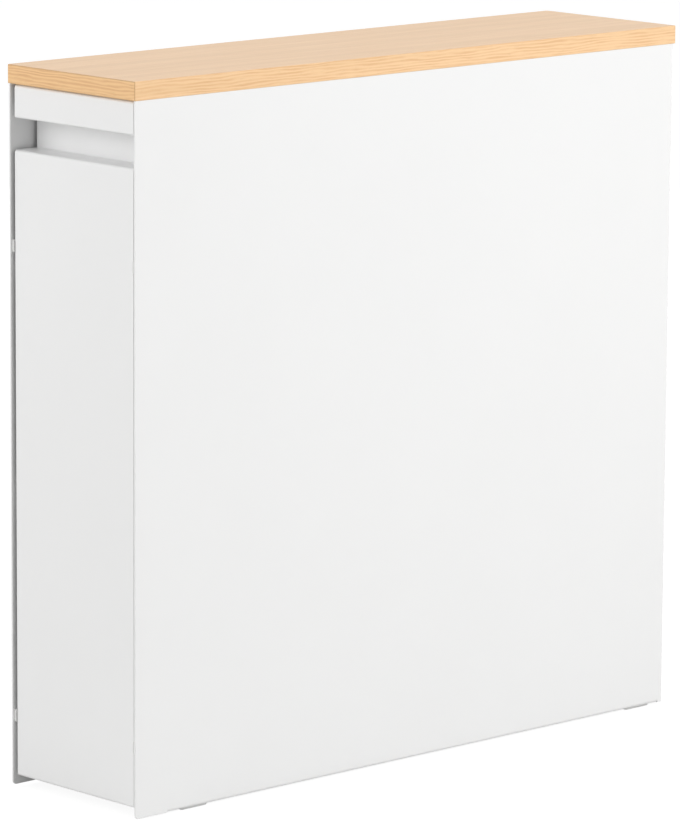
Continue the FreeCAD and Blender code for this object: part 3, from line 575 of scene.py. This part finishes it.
# %% Material: zinc plate
CRYSTAL_SIZE = 1.6 * MM
CRYSTAL_SHARE = 0.6  # how much the crystals count beside the cloudy patches
ZINC_TONE = (0.3, 1.2)  # crystals and patches together, at the darkest and at the lightest
ZINC_DARKER = rgb(0.52, 0.53, 0.54)
ZINC_LIGHTER = rgb(0.68, 0.69, 0.70)
ZINC_ROUGHNESS = (0.26, 0.42)
RUBBED_ZINC = rgb(0.78, 0.78, 0.78)
RUBBED_SHARE = 0.5


def zinc_plate():
    material, tree, shader = start_material("zinc_plate", Metallic=1.0)
    texture = use_group(tree, fine_texture, grain_size=0.25 * MM, patch_size=5 * MM)
    edge = use_group(tree, edge_wear_and_shade, width=0.3 * MM, patch_size=3 * MM)["Edge"]
    place = add_node(tree, "ShaderNodeTexCoord").outputs["Object"]
    crystals = add_node(tree, "ShaderNodeTexVoronoi", {"Vector": place, "Scale": 1 / CRYSTAL_SIZE})
    grey = add_node(tree, "ShaderNodeSeparateColor", {"Color": crystals.outputs["Color"]}).outputs["Red"]
    tone = calculate(tree, "ADD", calculate(tree, "MULTIPLY", grey, CRYSTAL_SHARE), texture["Patches"])
    colour = mix_colour(tree, soft_step(tree, tone, *ZINC_TONE), ZINC_DARKER, ZINC_LIGHTER)
    colour = tinted(tree, colour, RUBBED_ZINC, edge, RUBBED_SHARE)
    feed(tree, shader["Base Color"], colour)
    feed(tree, shader["Roughness"], between(tree, grey, *ZINC_ROUGHNESS))
    feed(tree, shader["Normal"], bumpy(tree, texture["Height"], strength=0.3, depth=0.01 * MM))
    return material


zinc_steel = zinc_plate()
print("material", zinc_steel.name)

# %% [markdown]
# The record that comes with the frame says which finish each piece has. Reading it from there keeps the
# lesson short: one dictionary from the finish's name to a material, and one loop over the pieces. The
# glides have the feet's finish in the record, and get a greyer copy of it here, which is painted shade.

# %% Give every piece its finish
FINISHES = {
    "white_paint": white_paint,
    "oak_board": oak_board,
    "white_plastic": white_plastic,
    "grey_rubber": grey_rubber,
    "wheel_plastic": wheel_nylon,
    "zinc_steel": zinc_steel,
}
for piece in frame["record"]["subparts"]:
    node = frame["nodes"][piece["node"]]
    node.data.materials.clear()
    is_glide = piece["node"].startswith("glide_")
    # The glides get the greyer copy of the white plastic, which is painted shade.
    node.data.materials.append(natural_nylon if is_glide else FINISHES[piece["material_slot"]])
for material in (*FINISHES.values(), natural_nylon):
    print(f"{material.name}: {material.users} pieces")

# %% [markdown]
# The thin side rails are welded to the rack's front and rear panels. A weld leaves a small bead round the
# end of each rod, rippled where the metal froze bit by bit. The frame has no need of it, so it is modelled
# here. A quarter circle fills the corner between rod and panel and is spun about the rod; a sine wave along
# the way makes the ripples. The beads are one mesh, which rides on the rack and has the panels' paint.

# %% Weld beads on the side rails
BEAD_LEG = 0.8 * MM  # how far a bead reaches along the rod and along the panel
BEAD_SINK = 0.1 * MM  # how far it goes into both, as molten metal does
BEAD_RIPPLES = 11
BEAD_RIPPLE_SHARE = 0.12
BEAD_TURN_STEPS = 66
BEAD_ARC_STEPS = 6


def add_bead(mesh, centre, rod_radius, away):
    """A ring round a rod whose end is at centre; away is 1 or -1, the way from the panel along Y."""
    inner = rod_radius - BEAD_SINK
    slopes = [math.pi / 2 * k / BEAD_ARC_STEPS for k in range(BEAD_ARC_STEPS + 1)]
    rings = []
    for step in range(BEAD_TURN_STEPS):
        turn = math.tau * step / BEAD_TURN_STEPS
        ripple = 1 + BEAD_RIPPLE_SHARE * math.sin(BEAD_RIPPLES * turn)
        size = BEAD_SINK + BEAD_LEG * ripple
        profile = [(0.0, 0.0)] + [(size * math.cos(a), size * math.sin(a)) for a in slopes]
        ring = []
        for out, along in profile:
            radius = inner + out
            spot = Vector((radius * math.cos(turn), (along - BEAD_SINK) * away, radius * math.sin(turn)))
            ring.append(mesh.verts.new(centre + spot))
        rings.append(ring)
    for ring, following in zip(rings, rings[1:] + rings[:1]):
        for k in range(len(ring)):
            mesh.faces.new((ring[k - 1], ring[k], following[k], following[k - 1]))


def rail_welds():
    made = bmesh.new()
    for name in frame["nodes"]:
        if name.startswith("guard_rod_"):
            low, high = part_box(name)
            middle = (low + high) / 2
            rod_radius = (high.x - low.x) / 2
            add_bead(made, Vector((middle.x, low.y, middle.z)), rod_radius, 1)
            add_bead(made, Vector((middle.x, high.y, middle.z)), rod_radius, -1)
    bmesh.ops.recalc_face_normals(made, faces=made.faces)
    mesh = bpy.data.meshes.new("guard_rod_welds")
    made.to_mesh(mesh)
    made.free()
    mesh.shade_smooth()
    mesh.materials.append(white_paint)
    obj = bpy.data.objects.new("guard_rod_welds", mesh)
    bpy.context.scene.collection.objects.link(obj)
    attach(obj, "rack")
    return obj


welds = rail_welds()
print(f"{welds.name}: {len(welds.data.polygons)} faces")

# %% [markdown]
# The rack stands on a plain pale floor under an even white sky. The floor is one large sheet. A camera ray
# sees it almost white, with only a trace of the real shading left, so that the rack's soft shadow stays.
# Rays that carry light to surfaces see an ordinary pale floor, so it doesn't throw extra light on the
# steel. From below the floor is clear, which lets a camera look at the underside.

# %% Floor
FLOOR_HALF = 30.0
FLOOR_WHITE = 0.91
FLOOR_SHADE = rgb(0.20, 0.20, 0.20)
FLOOR_PALE = rgb(0.63, 0.63, 0.62)


def seen_mask(tree):
    """1 for rays from the camera, in mirrors and through glass, 0 for rays that carry light to surfaces."""
    path = add_node(tree, "ShaderNodeLightPath").outputs
    seen = calculate(tree, "MAXIMUM", path["Is Camera Ray"], path["Is Glossy Ray"])
    return calculate(tree, "MAXIMUM", seen, path["Is Transmission Ray"])


def mix_shader(tree, factor, first, second):
    """The first shader where factor is 0, the second where it is 1."""
    made = add_node(tree, "ShaderNodeMixShader")
    for socket, value in zip(made.inputs, (factor, first, second)):
        feed(tree, socket, value)
    return made.outputs[0]


def floor_finish():
    material = bpy.data.materials.new("studio_floor")
    material.use_nodes = True
    tree = material.node_tree
    tree.nodes.clear()
    pale = add_node(tree, "ShaderNodeBsdfDiffuse", {"Color": FLOOR_PALE}).outputs[0]
    shaded = add_node(tree, "ShaderNodeBsdfDiffuse", {"Color": FLOOR_SHADE}).outputs[0]
    glow = add_node(tree, "ShaderNodeEmission", {"Strength": FLOOR_WHITE}).outputs[0]
    white = add_node(tree, "ShaderNodeAddShader", {0: shaded, 1: glow}).outputs[0]
    top = mix_shader(tree, seen_mask(tree), pale, white)
    below = add_node(tree, "ShaderNodeNewGeometry").outputs["Backfacing"]
    clear = add_node(tree, "ShaderNodeBsdfTransparent").outputs[0]
    add_node(tree, "ShaderNodeOutputMaterial", {"Surface": mix_shader(tree, below, top, clear)})
    return material


corners = [(x * FLOOR_HALF, y * FLOOR_HALF, 0.0) for x, y in ((-1, -1), (1, -1), (1, 1), (-1, 1))]
floor_mesh = bpy.data.meshes.new("studio_floor")
floor_mesh.from_pydata(corners, [], [(0, 1, 2, 3)])
floor_mesh.materials.append(floor_finish())
floor = bpy.data.objects.new("studio_floor", floor_mesh)
bpy.context.scene.collection.objects.link(floor)
print("floor", 2 * FLOOR_HALF, "m square")

# %% [markdown]
# An even sky gives the shadowless base of a studio. What the camera and reflections see of it is plain
# white; what lights the rack is weaker, so that the lamps can shape it.

# %% Sky
SKY_LIGHT = 0.46


def white_sky():
    world = bpy.data.worlds.new("studio_sky")
    world.use_nodes = True
    tree = world.node_tree
    strength = between(tree, seen_mask(tree), SKY_LIGHT, 1.0)
    feed(tree, tree.nodes["Background"].inputs["Color"], rgb(1, 1, 1))
    feed(tree, tree.nodes["Background"].inputs["Strength"], strength)
    return world


bpy.context.scene.world = white_sky()
print("sky strength on the rack", SKY_LIGHT)

# %% [markdown]
# Three large soft boxes do the rest. The first stands to the right of the rack and a little above, so the
# long side is the brightest face and fades gently towards the floor. The second, wider one faces the narrow
# front and reaches into the finger slot. The third is a weak fill low behind the rack, for the sides that a
# camera at the front doesn't see. All are square area lamps, wide enough that no hard shadow shows. They
# are hidden from the camera and from mirror reflections, which then show the even white sky instead of a
# glaring square.

# %% Lamps
RACK_MIDDLE = (cad_box[0] + cad_box[1]) / 2


def soft_box(name, place, width, watts):
    """A square lamp at that place, aimed at the middle of the rack."""
    lamp = bpy.data.lights.new(name, "AREA")
    lamp.shape = "SQUARE"
    lamp.size = width
    lamp.energy = watts
    obj = bpy.data.objects.new(name, lamp)
    obj.location = place
    obj.rotation_mode = "QUATERNION"
    obj.rotation_quaternion = (RACK_MIDDLE - Vector(place)).to_track_quat("-Z", "Y")
    obj.visible_camera = False
    obj.visible_glossy = False
    bpy.context.scene.collection.objects.link(obj)
    print(f"{name}: {watts} W, {width} m wide")


soft_box("side_soft_box", place=(2.2, 0.7, 1.5), width=1.8, watts=44.0)
soft_box("front_soft_box", place=(-0.9, -2.2, 0.7), width=3.0, watts=45.0)
soft_box("rear_fill", place=(-2.0, 1.8, 0.7), width=2.0, watts=18.0)

# %% [markdown]
# The camera stands far back with a long lens, so the rack's upright edges stay nearly parallel. Its place is
# given the way a photographer would: the direction it looks from, the point it looks at, the distance, and
# a trace of tilt. The lens follows from how many pixels something a metre wide fills from a metre away.

# %% Camera
CAMERA_AZIMUTH = math.radians(46.722)
CAMERA_ELEVATION = math.radians(10.396)
CAMERA_ROLL = math.radians(0.357)
CAMERA_AIM = Vector((-0.00502, -0.00537, 0.24145))
CAMERA_DISTANCE = 3.8339
LENS_PIXELS = 5451.9
PICTURE_LONG_SIDE = 820
SENSOR_MM = 36.0


def studio_camera():
    flat = math.cos(CAMERA_ELEVATION)
    back = Vector(
        (
            math.sin(CAMERA_AZIMUTH) * flat,
            -math.cos(CAMERA_AZIMUTH) * flat,
            math.sin(CAMERA_ELEVATION),
        )
    )
    lens = bpy.data.cameras.new("studio_camera")
    lens.sensor_width = SENSOR_MM
    lens.lens = LENS_PIXELS / PICTURE_LONG_SIDE * SENSOR_MM
    obj = bpy.data.objects.new("studio_camera", lens)
    turn = (-back).to_track_quat("-Z", "Y").to_matrix().to_4x4()
    place = Matrix.Translation(CAMERA_AIM + back * CAMERA_DISTANCE)
    obj.matrix_world = place @ turn @ Matrix.Rotation(CAMERA_ROLL, 4, "Z")
    bpy.context.scene.collection.objects.link(obj)
    bpy.context.scene.camera = obj
    return obj


camera = studio_camera()
bpy.context.scene.view_settings.view_transform = "Standard"
print(f"camera at {[round(v, 3) for v in camera.location]} with a {camera.data.lens:.0f} mm lens")
